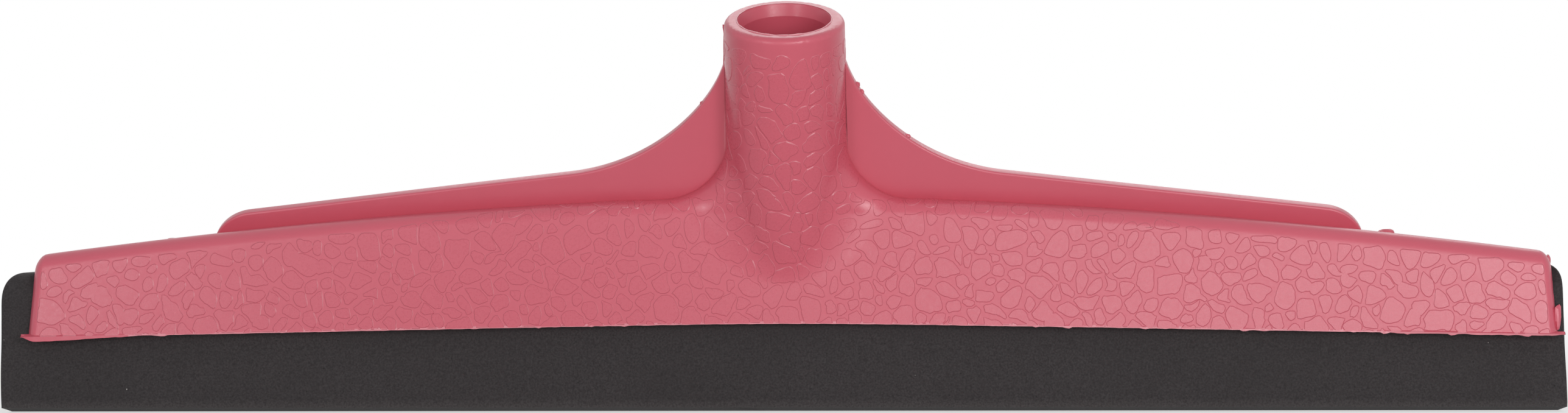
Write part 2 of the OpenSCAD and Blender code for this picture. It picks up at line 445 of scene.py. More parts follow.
def joined(a, b, r, turn):
    """Union of two fields with a concave round of radius r; turn is the cosine between their slopes."""
    turn = np.clip(turn, -0.9995, 0.9995)
    r = r * step(*COWL_FADE, turn)
    da, db = r - a, r - b
    reach = np.sqrt((da * da + db * db - 2 * turn * da * db) / (1 - turn * turn))
    return np.where((da > turn * db) & (db > turn * da), r - reach, np.minimum(a, b))


def body_field(p):
    x, y, z = p[..., 0], p[..., 1], p[..., 2]
    r = SHOULDER_R
    end = (np.abs(x) - half_length(z) + END_R) * r / END_R
    q = np.stack([end, np.abs(y) - half_depth(z) + r, z - ridge_z(x) + r], -1)
    out = np.maximum(q, 0)
    reach = np.sqrt((out ** 2).sum(-1))[..., None]
    facing = np.where(reach > 0, out / np.maximum(reach, 1e-9), np.eye(3)[q.argmax(-1)])
    facing = facing * np.stack([np.sign(x), np.sign(y), np.ones_like(z)], -1)
    return np.maximum(rounded(q, r), BODY_LOW - z), facing


def socket_place(p):
    d = p - ROOT
    return d[..., 0], d @ FRONT, d @ AXIS


def socket_radius(w):
    return SOCKET_R + SOCKET_TAPER * (SOCKET_LEN - w) / (SOCKET_LEN + SOCKET_ROOT)


def socket_field(p):
    x, n, w = socket_place(p)
    reach = np.hypot(x, n)
    tube = rounded(np.stack([reach - socket_radius(w) + RIM_R, w - SOCKET_LEN + RIM_R], -1), RIM_R)
    foot = (p[..., 1] - FOOT_Y) * math.sin(FOOT_LEAN) - (p[..., 2] - FOOT_Z) * math.cos(FOOT_LEAN)
    across = np.stack([x, n * FRONT[1], n * FRONT[2]], -1) / np.maximum(reach, 1e-9)[..., None]
    return np.maximum(tube, foot), across


def fin_core_field(p):
    x, n, w = socket_place(p)
    top = np.interp(np.abs(x), fin_line[:, 0], fin_line[:, 1])
    low = along_axis(ridge_z(x)) - FIN_EMBED
    sides = [np.abs(n) - FIN_T / 2 + FIN_CORE_FACE, w - top + FIN_CORE_RIM, low - w]
    return np.max(sides + [np.abs(x) - FIN_END + FIN_CORE_RIM], axis=0)


def shell_field(p):
    """Body and socket with the concave round between them."""
    body, body_facing = body_field(p)
    socket, socket_facing = socket_field(p)
    return joined(body, socket, COWL_R, (body_facing * socket_facing).sum(-1))


def gradient(field, p, h=0.04):
    steps = np.eye(3) * h
    return np.stack([field(p + s) - field(p - s) for s in steps], -1) / (2 * h)


def settle(field, p, level=0.0, rounds=4):
    """Moves points along the field's slope until they lie at that level of it."""
    for _ in range(rounds):
        g = gradient(field, p)
        off = (field(p) - level) / np.maximum((g * g).sum(-1), 0.05)
        p = p - np.clip(off, -2, 2)[:, None] * g
    return p


def surface_net(xs, ys, zs):
    """Closed quad mesh of the housing's outer form, sampled on a grid and settled on the surface."""
    grid = np.stack(np.meshgrid(xs, ys, zs, indexing="ij"), -1)
    value = np.stack([shell_field(plane) for plane in grid])
    cells = tuple(n - 1 for n in value.shape)
    total = np.zeros(cells + (3,))
    count = np.zeros(cells)
    corners = []
    for axis in range(3):
        low = tuple(slice(0, -1) if k == axis else slice(None) for k in range(3))
        high = tuple(slice(1, None) if k == axis else slice(None) for k in range(3))
        a, b = value[low], value[high]
        cross = (a < 0) != (b < 0)
        index = np.argwhere(cross)
        t = (a[cross] / (a[cross] - b[cross]))[:, None]
        point = grid[low][cross] * (1 - t) + grid[high][cross] * t
        u, v = (axis + 1) % 3, (axis + 2) % 3
        ring = []
        for du, dv in ((1, 1), (0, 1), (0, 0), (1, 0)):
            cell = index.copy()
            cell[:, u] -= du
            cell[:, v] -= dv
            np.add.at(total, tuple(cell.T), point)
            np.add.at(count, tuple(cell.T), 1)
            ring.append(np.ravel_multi_index(tuple(cell.T), cells))
        ring = np.stack(ring, -1)
        outward = (a[cross] < 0)[:, None]
        corners.append(np.where(outward, ring, ring[:, ::-1]))
    live = count > 0
    number = np.full(cells, -1)
    number[live] = np.arange(live.sum())
    points = settle(shell_field, total[live] / count[live][:, None])
    return points, number.ravel()[np.concatenate(corners)]


def spaced(*parts):
    """Grid lines from (start, end, spacing) stretches that follow one another."""
    lines = [np.linspace(a, b, max(1, round((b - a) / s)), endpoint=False) for a, b, s in parts]
    return np.concatenate(lines + [[parts[-1][1]]])


# Sampling grid: fine around the socket and at the ends, coarse along the arms, off the form's own planes
x1, x2, x3 = GRID_X
z1, z2, z3 = GRID_Z
half_x = spaced((0, x1, 1), (x1, x2, 1.3), (x2, x3, 8), (x3, HOUSE_HALF + OVER, 0.8))
grid_x = np.concatenate([-half_x[:0:-1], half_x])
grid_y = spaced((house_low[1] - 2, -DEPTH_HALF, 0.9), (-DEPTH_HALF, DEPTH_HALF + OVER, 1.2))
grid_z = spaced((BODY_LOW - 2, z1, 3), (z1, z2, 1.1), (z2, z3, 1.5), (z3, house_high[2] + OVER, 0.6))
grids = [lines + shift for lines, shift in zip((grid_x, grid_y, grid_z), GRID_SHIFT)]
base_points, base_quads = surface_net(*grids)
housing = add_solid("housing_shell", base_points, base_quads)


# Raised islands of the pebble relief
def clip(outline, direction, limit):
    """Part of a closed outline that lies below a limit along a direction."""
    kept = []
    for a, b in zip(outline, np.roll(outline, -1, 0)):
        fa, fb = a @ direction - limit, b @ direction - limit
        if fa <= 0:
            kept.append(a)
        if fa * fb < 0:
            kept.append(a + (b - a) * fa / (fa - fb))
    return np.array(kept)


def soften(outline, rounds):
    for _ in range(rounds):
        after = np.roll(outline, -1, 0)
        cut = [outline * 0.75 + after * 0.25, outline * 0.25 + after * 0.75]
        outline = np.stack(cut, 1).reshape(-1, 2)
    return outline


def resample(outline, count):
    closed = np.vstack([outline, outline[:1]])
    run = np.concatenate([[0], np.cumsum(np.linalg.norm(np.diff(closed, axis=0), axis=1))])
    marks = np.linspace(0, run[-1], count, endpoint=False)
    return np.stack([np.interp(marks, run, closed[:, k]) for k in (0, 1)], -1)


def smooth_zone(p):
    """Above zero on the shoulders of the arms, at the ends and near the mouth, which carry no relief."""
    x, _, w = socket_place(p)
    shoulder = p[..., 2] - ridge_z(x) + PLAIN_TOP + PLAIN_TOP_MORE * step(*PLAIN_TOP_RUN, np.abs(x))
    shoulder = np.where(socket_field(p)[0] < PLAIN_SOCKET, -9, shoulder)
    end = np.abs(x) - half_length(p[..., 2]) + PLAIN_END
    mouth = w - SOCKET_LEN + PLAIN_MOUTH
    ragged = PLAIN_RAGGED * noise(p, PLAIN_RAGGED_SIZE, SEED + 3)
    return np.max([shoulder + ragged, end + 0.3 * ragged, mouth + ragged], axis=0)


def island_seeds(rng):
    """Points spread over the outer form, each with the radius that it keeps free of others."""
    quad = base_points[base_quads]
    area = np.linalg.norm(np.cross(quad[:, 2] - quad[:, 0], quad[:, 3] - quad[:, 1]), axis=1) / 2
    pick = rng.choice(len(area), ISLAND_TRIES, p=area / area.sum())
    s, t = rng.random((2, len(pick), 1))
    corners = quad[pick]
    spot = (corners[:, 0] * (1 - s) + corners[:, 1] * s) * (1 - t)
    spot = settle(shell_field, spot + (corners[:, 3] * (1 - s) + corners[:, 2] * s) * t, 0, 2)
    keep = (spot[:, 2] > EDGE_END - 2) & (smooth_zone(spot) < -0.8) & (fin_core_field(spot) > 3)
    spot = spot[keep]
    size = ISLAND_R + ISLAND_R_MORE * rng.random(len(spot)) ** ISLAND_R_SKEW
    chosen = []
    for i in range(len(spot)):
        gap = np.linalg.norm(spot[chosen] - spot[i], axis=1)
        if (gap >= (size[chosen] + size[i]) * ISLAND_PACK).all():
            chosen.append(i)
    return spot[chosen], size[chosen]


def island_outlines(rng):
    """Seed point, tangent pair and outline of each island, from weighted cells around the seeds."""
    spot, size = island_seeds(rng)
    facing = gradient(shell_field, spot)
    facing /= np.linalg.norm(facing, axis=1)[:, None]
    found = []
    for i in range(len(spot)):
        up = facing[i]
        first = np.cross([0, 0, 1.0] if abs(up[2]) < 0.9 else [1.0, 0, 0], up)
        first /= np.linalg.norm(first)
        pair = np.stack([first, np.cross(up, first)])
        turn = np.linspace(0, 2 * math.pi, ISLAND_CORNERS, endpoint=False) + rng.random()
        outline = np.stack([np.cos(turn), np.sin(turn)], -1) * size[i] * ISLAND_REACH
        away = spot - spot[i]
        far = np.linalg.norm(away, axis=1)
        for j in np.flatnonzero((far > 0) & (far < ISLAND_NEIGHBOUR) & (facing @ up > 0.1)):
            flat = pair @ away[j]
            flat /= max(np.linalg.norm(flat), 1e-6)
            half = far[j] / 2 + (size[i] ** 2 - size[j] ** 2) / (2 * far[j])
            draw = (lattice(min(i, j), max(i, j), 5, SEED) + 1) / 2
            gap = -RELIEF_OVERLAP if draw < RELIEF_MERGE else RELIEF_GAP + RELIEF_GAP_MORE * draw ** 2
            outline = clip(outline, flat, half - gap)
            if len(outline) < 3:
                break
        if len(outline) >= 3:
            found.append((spot[i], pair, outline))
    return found


def drawn_back(spot, pair, outline):
    """Draws outline points back towards the seed until they clear the fins and the smooth zones."""
    share = np.ones(len(outline))
    for _ in range(12):
        place = settle(shell_field, spot + (outline * share[:, None]) @ pair, 0, 2)
        close = (fin_core_field(place) < RELIEF_CLEAR) | (smooth_zone(place) > 0)
        if not close.any():
            break
        share[close] *= 0.86
    return outline * share[:, None]


def left_of(p, q, r):
    return np.cross(q - p, r - p) > 0


def crosses_itself(outline):
    a, b = outline, np.roll(outline, -1, 0)
    p, q, r, t = a[:, None], b[:, None], a[None], b[None]
    crossed = (left_of(p, q, r) != left_of(p, q, t)) & (left_of(r, t, p) != left_of(r, t, q))
    i, j = np.nonzero(crossed)
    apart = np.abs(i - j)
    return ((apart > 1) & (apart < len(outline) - 1)).any()


def warped(spot, pair, outline, share):
    place = spot + outline @ pair
    for size, depth in RELIEF_WARP:
        shift = np.stack([noise(place, size, SEED + 1), noise(place, size, SEED + 2)], -1)
        outline = outline + shift * depth * share
    return outline


def island_shapes():
    """Seed point, tangent pair, outline, height and number of inner rings of each island."""
    rng = np.random.default_rng(SEED)
    shapes = []
    for spot, pair, cell in island_outlines(rng):
        cell = soften(cell, 1)
        length = np.linalg.norm(np.roll(cell, -1, 0) - cell, axis=1).sum()
        fineness = RELIEF_STEP if spot[1] < 0 else RELIEF_STEP_REAR
        cell = resample(cell, int(np.clip(round(length / fineness), *ISLAND_POINTS)))
        for share in (1, 0.6, 0.3, 0):
            outline = warped(spot, pair, cell, share)
            if not crosses_itself(outline):
                break
        if fin_core_field(spot) < NEAR_FIN or smooth_zone(spot) > -NEAR_PLAIN:
            outline = drawn_back(spot, pair, outline)
            outline = outline / 2 + (np.roll(outline, 1, 0) + np.roll(outline, -1, 0)) / 4
        spread = np.cross(outline, np.roll(outline, -1, 0)).sum() / 2
        height = RELIEF_H * (0.97 + 0.06 * rng.random())
        facing = gradient(shell_field, spot + np.vstack([[[0, 0]], outline]) @ pair)
        facing /= np.linalg.norm(facing, axis=1)[:, None]
        curve = sum((facing @ facing[0]).min() <= even for even in RELIEF_EVEN)
        if spread > ISLAND_LEAST:
            shapes.append((spot, pair, outline, height, curve))
    return shapes


def island_parts(spot, pair, outline, height, curve):
    """Points, their levels and the faces of one island: a closed plug that stands a little proud."""
    n = len(outline)
    middle = outline.mean(0)
    ahead = np.roll(outline, -1, 0) - np.roll(outline, 1, 0)
    edge = np.stack([ahead[:, 1], -ahead[:, 0]], -1)
    edge /= np.linalg.norm(edge, axis=1)[:, None]
    foot = outline + edge * RELIEF_SIDE * (1 + RELIEF_FOOT / RELIEF_H)
    rings = [(outline, height), (foot, -RELIEF_FOOT), (foot, -RELIEF_SINK)]
    for share in RELIEF_RINGS[curve]:
        rings.insert(0, (middle + (outline - middle) * share, height))
    # Each quad starts one point along its row, which sets the diagonal that it splits on
    faces = [(d, a, b, c) for a, b, c, d in bands(len(rings), n)]
    last = (len(rings) - 1) * n
    places = [ring for ring, level in rings]
    levels = [np.full(n, level) for ring, level in rings]
    if curve == 0:
        faces += [tuple(range(n)), tuple(range(last + n - 1, last - 1, -1))]
    else:
        places.append(np.stack([middle, middle]))
        levels.append(np.array([height, -RELIEF_SINK]))
        faces += [(a, (a + 1) % n, last + n) for a in range(n)]
        faces += [(last + (a + 1) % n, last + a, last + n + 1) for a in range(n)]
    return spot + np.vstack(places) @ pair, np.concatenate(levels), faces


def island_batches(shapes):
    """Sorts the islands so that no two that might touch share a batch."""
    spots = np.array([s[0] for s in shapes])
    reach = np.array([np.linalg.norm(s[2], axis=1).max() + 1 for s in shapes])
    batch = np.full(len(shapes), -1)
    for i in range(len(shapes)):
        near = np.linalg.norm(spots - spots[i], axis=1) < reach + reach[i]
        taken = set(batch[near])
        batch[i] = next(b for b in range(len(shapes)) if b not in taken)
    return batch


def add_relief(target):
    shapes = island_shapes()
    batch = island_batches(shapes)
    for b in range(batch.max() + 1):
        parts = [island_parts(*shape) for shape, which in zip(shapes, batch) if which == b]
        points = np.vstack([part[0] for part in parts])
        points = settle(shell_field, points, np.concatenate([part[1] for part in parts]))
        starts = np.cumsum([0] + [len(part[0]) for part in parts])
        faces = [tuple(start + v for v in face) for start, part in zip(starts, parts) for face in part[2]]
        combine(target, add_solid("islands", points, faces), "UNION")


add_relief(housing)


# Fins with rounded edges
def fin_mesh(side):
    base = np.stack([fin_line[:, 0], along_axis(ridge_z(fin_line[:, 0])) - FIN_EMBED], -1)
    outline = np.vstack([fin_line, base[::-1]])
    ahead = np.roll(outline, -1, 0) - np.roll(outline, 1, 0)
    inward = np.stack([ahead[:, 1], -ahead[:, 0]], -1)
    inward /= np.linalg.norm(inward, axis=1)[:, None]
    flat = FIN_T / 2 - FIN_EDGE_R
    rolls = np.radians(np.linspace(0, 90, 6))
    profile = [(FIN_EDGE_R * (1 - math.cos(a)), flat + FIN_EDGE_R * math.sin(a)) for a in rolls]
    profile.append((FIN_EDGE_R + FIN_LEDGE, FIN_T / 2))
    rows = []
    for depth, n in [(d, -n) for d, n in reversed(profile)] + profile:
        place = outline + inward * depth
        outer = step(*FIN_BEND, place[:, 0])
        point = ROOT + (place[:, 1] + side * FIN_RISE * outer)[:, None] * AXIS + n * FRONT
        point[:, 0] = place[:, 0] * side - FIN_DRIFT * outer
        rows.append(point)
    count, last = len(outline), (len(rows) - 1) * len(outline)
    faces = bands(len(rows), count, turned=True)
    for i in range(count // 2 - 1):
        far = count - 1 - i
        faces.append((far, far - 1, i + 1, i))
        faces.append((last + i, last + i + 1, last + far - 1, last + far))
    return np.vstack(rows), faces


for side in (1, -1):
    combine(housing, add_solid("fin", *fin_mesh(side)), "UNION")

# Cuts: the bowed bottom edge, the blade channel with its teeth, the cells and the bore
bow_x = np.linspace(-HOUSE_HALF - OVER, HOUSE_HALF + OVER, 90)
bow = [(-HOUSE_HALF - OVER, BODY_LOW - OVER), (HOUSE_HALF + OVER, BODY_LOW - OVER)]
bow += [(x, edge_z(x)) for x in reversed(bow_x)]
combine(housing, prism("bow", bow, along_y(4 * DEPTH_HALF)), "DIFFERENCE")

side = [(CHANNEL_HALF, BODY_LOW - OVER)]
for z in TOOTH_Z:
    side += [(CHANNEL_HALF, z - TOOTH_W / 2), (CHANNEL_HALF - TOOTH_H, z)]
    side += [(CHANNEL_HALF - TOOTH_UNDERCUT, z + TOOTH_W / 2)]
side += arc(CHANNEL_HALF - CHANNEL_R, CHANNEL_TOP - CHANNEL_R, CHANNEL_R, 15, 90, 10)
channel = side + mirrored(side)
combine(housing, prism("channel", channel, along_x(2 * (HOUSE_HALF + OVER))), "DIFFERENCE")
plain = side[:1] + side[3 * len(TOOTH_Z) + 1:]
plain = plain + mirrored(plain)
for end in (1, -1):
    middle = end * (HOUSE_HALF - TOOTH_SHORT / 2 + OVER / 2)
    combine(housing, prism("channel_end", plain, along_x(TOOTH_SHORT + OVER, middle)), "DIFFERENCE")

cell_half = half_depth(ridge_z(0)) - CELL_WALL
cell_low = CHANNEL_TOP - CHANNEL_R
cell_start = SOCKET_R + SOCKET_TAPER + CELL_RIB
cell_pitch = (HOUSE_HALF - CELL_END + CELL_RIB - cell_start) / CELL_COUNT
mid_top = ROOT[2] + (BORE_END - BORE_WEB) * AXIS[2] + cell_half * AXIS[1]
cells = [(CELL_RIB / 2, cell_start - CELL_RIB, mid_top, mid_top)]
for i in range(CELL_COUNT):
    x0 = cell_start + i * cell_pitch
    x1 = x0 + cell_pitch - CELL_RIB
    cells.append((x0, x1, ridge_z(x0) - CELL_WALL, ridge_z(x1) - CELL_WALL))
for x0, x1, top0, top1 in cells:
    for s in (1, -1):
        outline = [(s * x0, cell_low), (s * x1, cell_low), (s * x1, top1), (s * x0, top0)][::s]
        combine(housing, prism("cell", outline, along_y(2 * cell_half)), "DIFFERENCE")


def bore_mesh(count=96):
    low, high, r = BORE_END, SOCKET_LEN, BORE_ROUND
    profile = [(BORE_R - r, low), (BORE_R, low + r), (BORE_R, high - LEAD_DEPTH)]
    profile += [(MOUTH_R, high - r), (MOUTH_R + 0.3 * r, high - 0.3 * r), (MOUTH_R + r, high)]
    profile += [(MOUTH_R + r + 0.1, high + OVER)]
    across = socket_ring(np.linspace(0, 2 * math.pi, count, endpoint=False))
    rows = [ROOT + AXIS * w + across * r for r, w in profile]
    faces = bands(len(rows), count)
    faces.append(tuple(range(count)))
    faces.append(tuple(range(len(rows) * count - 1, (len(rows) - 1) * count - 1, -1)))
    return np.vstack(rows), faces


combine(housing, add_solid("bore", *bore_mesh()), "DIFFERENCE")


# Moulding flash: a ragged film along the bottom edges and at the mouth, a line up the socket, a few nubs
def tube(rows, name):
    """Closed tube through rows of as many points each, with flat ends."""
    n = len(rows[0])
    faces = bands(len(rows), n, turned=True)
    last = (len(rows) - 1) * n
    for i in range(1, n - 1):
        faces.append((0, i + 1, i))
        faces.append((last, last + i, last + i + 1))
    return add_solid(name, np.vstack(rows), faces)


def edge_film(side, seed, lips):
    """Film that hangs down and out from a bottom edge, with lumps and a lip near each end."""
    reach = HOUSE_HALF + FLASH_END
    x = spaced((-reach, reach, FLASH_STEP))
    left = lips * np.clip((-LIP_LEFT - x) / LIP_RUN, 0, 1)
    notch = 1 - LIP_NOTCH_DEPTH * step(2, 0.5, np.abs(x - LIP_NOTCH))
    right = lips * step(LIP_RIGHT, LIP_RIGHT + LIP_RIGHT_RUN, x) * notch
    lump = step(*LUMP_SHARE, wave(x, 3.1, seed + 1))
    hang = FLASH_HANG + 0.06 * (1 + wave(x, 1.7, seed)) + LUMP_HANG * lump
    low_lip = right * (LIP_RIGHT_HANG + 0.1 * wave(x, 6, seed + 3))
    hang += left * (LIP_HANG + 0.15 * wave(x, 5, seed + 2)) + low_lip
    out = FLASH_OUT + 0.06 * (1 + wave(x, 2.3, seed + 4)) + LUMP_OUT * lump
    out = out + left * LIP_OUT + right * LIP_RIGHT_OUT
    point = step(reach + 0.1, reach - 4, np.abs(x))
    hang = hang * point - 0.15 * (1 - point)
    inner = FLASH_INNER - FLASH_INNER_LESS * step(HOUSE_HALF - 0.5, HOUSE_HALF + 0.5, np.abs(x))
    rows = []
    for xi, h, o, d in zip(x, hang, out, inner):
        e = edge_z(xi)
        w = half_depth(e)
        ring = [(w - d, e + 0.9), (w - 0.03, e + 0.5), (w + 0.6 * o, e + 0.12), (w + o, e - h)]
        ring += [(w + o - 0.24, e - h - 0.03), (w - 0.3, e - 0.06), (w - d, e + 0.25)]
        rows.append(np.array([(xi, side * y, z) for y, z in ring]))
    return tube(rows, "edge_film")


def socket_film(seed):
    """Ragged line up the left side of the socket."""
    w = spaced((SEAM_START, SOCKET_LEN - SEAM_STOP, 0.9))
    proud = 0.1 + 0.22 * (1 + wave(w, 2.1, seed)) * step(SEAM_START, SEAM_START + SEAM_RUN, w)
    rows = []
    for wi, ri, h in zip(w, socket_radius(w), proud):
        ring = [(-ri + 1, -0.3), (-ri - h, -0.12), (-ri - h, 0.12), (-ri + 1, 0.3)]
        rows.append(np.array([ROOT + AXIS * wi + FRONT * n + np.array([x, 0, 0]) for x, n in ring]))
    return tube(rows, "socket_film")


def mouth_film(seed, count=120):
    """Ragged ring around the inner edge of the mouth."""
    turn = np.linspace(0, 2 * math.pi, count, endpoint=False)
    around = np.stack([np.cos(turn), np.sin(turn), 0 * turn], -1)
    proud = 0.06 + 0.11 * (1 + noise(around * BORE_R, 1.9, seed))
    r = MOUTH_R + 0.45
    ring = [(r - 0.35, 0 * proud - 0.6), (r - 0.16, proud), (r + 0.06, proud), (r + 0.3, 0 * proud - 0.4)]
    across = socket_ring(turn)
    rows = [ROOT + across * rad + AXIS * (SOCKET_LEN + lift)[:, None] for rad, lift in ring]
    return add_solid("mouth_film", np.vstack(rows), bands(len(rows), count, closed=True))


def nub(place, radii, ragged, seed):
    """Ragged ball with that place and those radii."""
    turn = np.linspace(0, 2 * math.pi, 14, endpoint=False)
    rows = []
    for a in np.radians(np.linspace(-84, 84, 9)):
        ball = np.stack([np.cos(a) * np.cos(turn), np.cos(a) * np.sin(turn), np.sin(a) + 0 * turn], -1)
        rows.append(np.array(place) + ball * radii * (1 + ragged * noise(ball, 0.6, seed))[:, None])
    return tube(rows, "nub")


def on_fin(x, sunk):
    """Point just under the top edge of a fin."""
    point = ROOT + AXIS * (np.interp(abs(x), fin_line[:, 0], fin_line[:, 1]) - sunk)
    return point + np.array([x, 0, 0])


combine(housing, edge_film(-1, 21, 1), "UNION")
combine(housing, edge_film(1, 41, 0.4), "UNION")
combine(housing, socket_film(61), "UNION")
combine(housing, mouth_film(66), "UNION")
nubs = [
    (on_fin(20.4, 0.5), (0.9, 0.8, 1.1), 0.2),
    (on_fin(21.6, 0.6), (0.9, 0.8, 1), 0.2),
    (on_fin(34.5, 0.5), (1.3, 0.7, 0.8), 0.2),
    (on_fin(-24, 0.6), (0.7, 0.8, 0.8), 0.2),
    ((half_length(43) - 0.1, -8, 43), (0.8, 1.4, 1.6), 0.2),
    ((173, -1, ridge_z(173) - 0.5), (2.6, 1.6, 1.6), 0.1),
    ((-181, 3, ridge_z(181) - 0.2), (2, 1.2, 0.5), 0.1),
    ((half_length(27) - 0.1, -15, 27), (1.2, 1.1, 3.6), 0.3),
]
for i, (place, radii, ragged) in enumerate(nubs):
    combine(housing, nub(place, np.array(radii), ragged, 70 + i), "UNION")


def drop_slivers(thing, least):
    """Takes away loose bits of fewer points than that, which the cuts leave behind."""
    work = bmesh.new()
    work.from_mesh(thing.data)
    left = set(work.verts)
    while left:
        edge = {left.pop()}
        bit = set(edge)
        while edge:
            edge = {e.other_vert(v) for v in edge for e in v.link_edges} - bit
            bit |= edge
        left -= bit
        if len(bit) < least:
            bmesh.ops.delete(work, geom=list(bit), context="VERTS")
    work.to_mesh(thing.data)
    work.free()


drop_slivers(housing, SLIVER_POINTS)

# Marks for the material: how far a point rises up an island, and which faces are thin film
def read(values, field, width, kind=float):
    found = np.zeros(len(values) * width, kind)
    values.foreach_get(field, found)
    return found.reshape(-1, width) if width > 1 else found


mesh = housing.data
spots = read(mesh.vertices, "co", 3) / MM
centres = read(mesh.polygons, "center", 3) / MM
facing = read(mesh.polygons, "normal", 3)
corner = read(mesh.loops, "vertex_index", 1, int)
owner = np.repeat(np.arange(len(mesh.polygons)), read(mesh.polygons, "loop_total", 1, int))
proud = shell_field(spots)
above_edge = centres[:, 2] - edge_z(centres[:, 0])
film = (shell_field(centres) > 0.03) & (above_edge < 0.3)
film &= (centres[:, 0] > -LIP_LEFT - LIP_FACE) | (above_edge > -0.05)
film |= (centres - ROOT) @ AXIS > SOCKET_LEN + 0.02
slope = gradient(shell_field, spots)
slope /= np.maximum(np.linalg.norm(slope, axis=1), 1e-9)[:, None]
skin = (np.abs(proud) < RELIEF_NEAR)[corner]
skin &= (slope[corner] * facing[owner]).sum(-1) > math.cos(math.radians(12))
across = (spots - ROOT) @ FRONT
off_fin = (np.abs(np.abs(across) - FIN_T / 2) > 0.01)[corner]
flat_fin = np.bincount(owner, off_fin)[owner] == 0
skin &= ~flat_fin
raised = np.where(proud < RELIEF_NEAR, np.clip(proud / RELIEF_H, 0, 1), 0)[corner]
raised = np.where(skin, raised > 0.5, raised)
stray = np.bincount(owner, (np.abs(proud) > RELIEF_NEAR)[corner]) > 0
raised[(film | stray)[owner]] = 0
for name, value, domain in (("relief", raised, "CORNER"), ("film", film, "FACE")):
    mark = mesh.attributes.new(name, "FLOAT", domain)
    mark.data.foreach_set("value", value.astype(np.float32))
shade(housing, 16)

# The outer skin takes the field's own normals and the fins are flat, so that no facet shows
normals = np.where(skin[:, None], slope[corner], 0)
normals[flat_fin] = np.sign(across[corner][flat_fin])[:, None] * FRONT
mesh.normals_split_custom_set(normals.tolist())
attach(housing, "housing")
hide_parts("housing")


# Foam blade: a folded strip with splayed lips, drawn in at its ends
def lip_bend(z):
    s = SPLAY_Z - z
    return math.tan(LIP_SPLAY) * (s + np.sqrt(s * s + SPLAY_SOFT ** 2)) / 2


def blade_paths():
    """Outer and inner line of one half of the section, from the lip to the middle, as matched points."""
    tip_z = FOAM_T * math.sin(LIP_SPLAY) * math.cos(LIP_SPLAY) - LAND_CUT
    low = np.linspace(tip_z, TOOTH_Z[0] - GROOVE - 0.2, 18)
    marks = [z + d for z in TOOTH_Z for d in (-GROOVE, 0, GROOVE)]
    fold_z = FOLD_TOP - FOLD_R
    start = math.degrees(math.asin((marks[-1] - fold_z) / FOLD_R))
    outer = [(BLADE_HALF + lip_bend(z), z) for z in low]
    outer += [(BLADE_HALF, z) for z in marks[:-1]]
    outer += arc(BLADE_HALF - FOLD_R, fold_z, FOLD_R, start, 90, 9)
    outer += [(BLADE_HALF * f, FOLD_TOP) for f in (0.3, 0.15, 0)]
    turn = arc(0, SLOT_TOP - SLOT_HALF, SLOT_HALF, 0, 90, 6)[1:]
    rise = np.linspace(0, SLOT_TOP - SLOT_HALF, len(outer) - len(turn))
    inner = [(SLOT_HALF + lip_bend(z), z) for z in rise] + turn
    grooves = [len(low) + 3 * k + 1 for k in range(len(TOOTH_Z))]
    return np.array(outer), np.array(inner), grooves


def end_draw(z, top, foot, lean, corner):
    """How far an end of the blade is drawn in at height z: rounded at its foot and top, and leaning."""
    low = foot[0] * np.clip(1 - z / foot[1], 0, 1) ** 2
    high = np.clip((z - top + corner) / corner, 0, 1) ** 3
    return low + lean * np.maximum(z - LEAN_Z, 0) + CORNER_DEPTH * (1 - np.cbrt(1 - high))


def blade_caps(m, n):
    """Faces of an end of the blade, whose loop of n points has m on each matched line."""
    right_in = [4 * m - 2 - k for k in range(m)]
    left_out = [2 * m - 2 - k for k in range(m)]
    left_in = [2 * m + k for k in range(m)]
    cap = [(k, k + 1, right_in[k + 1], right_in[k]) for k in range(m - 1)]
    cap += [(left_out[k + 1], left_out[k], left_in[k], left_in[k + 1]) for k in range(m - 1)]
    return cap + [(0, right_in[0], n - 1), (left_out[0], 2 * m - 1, left_in[0])]


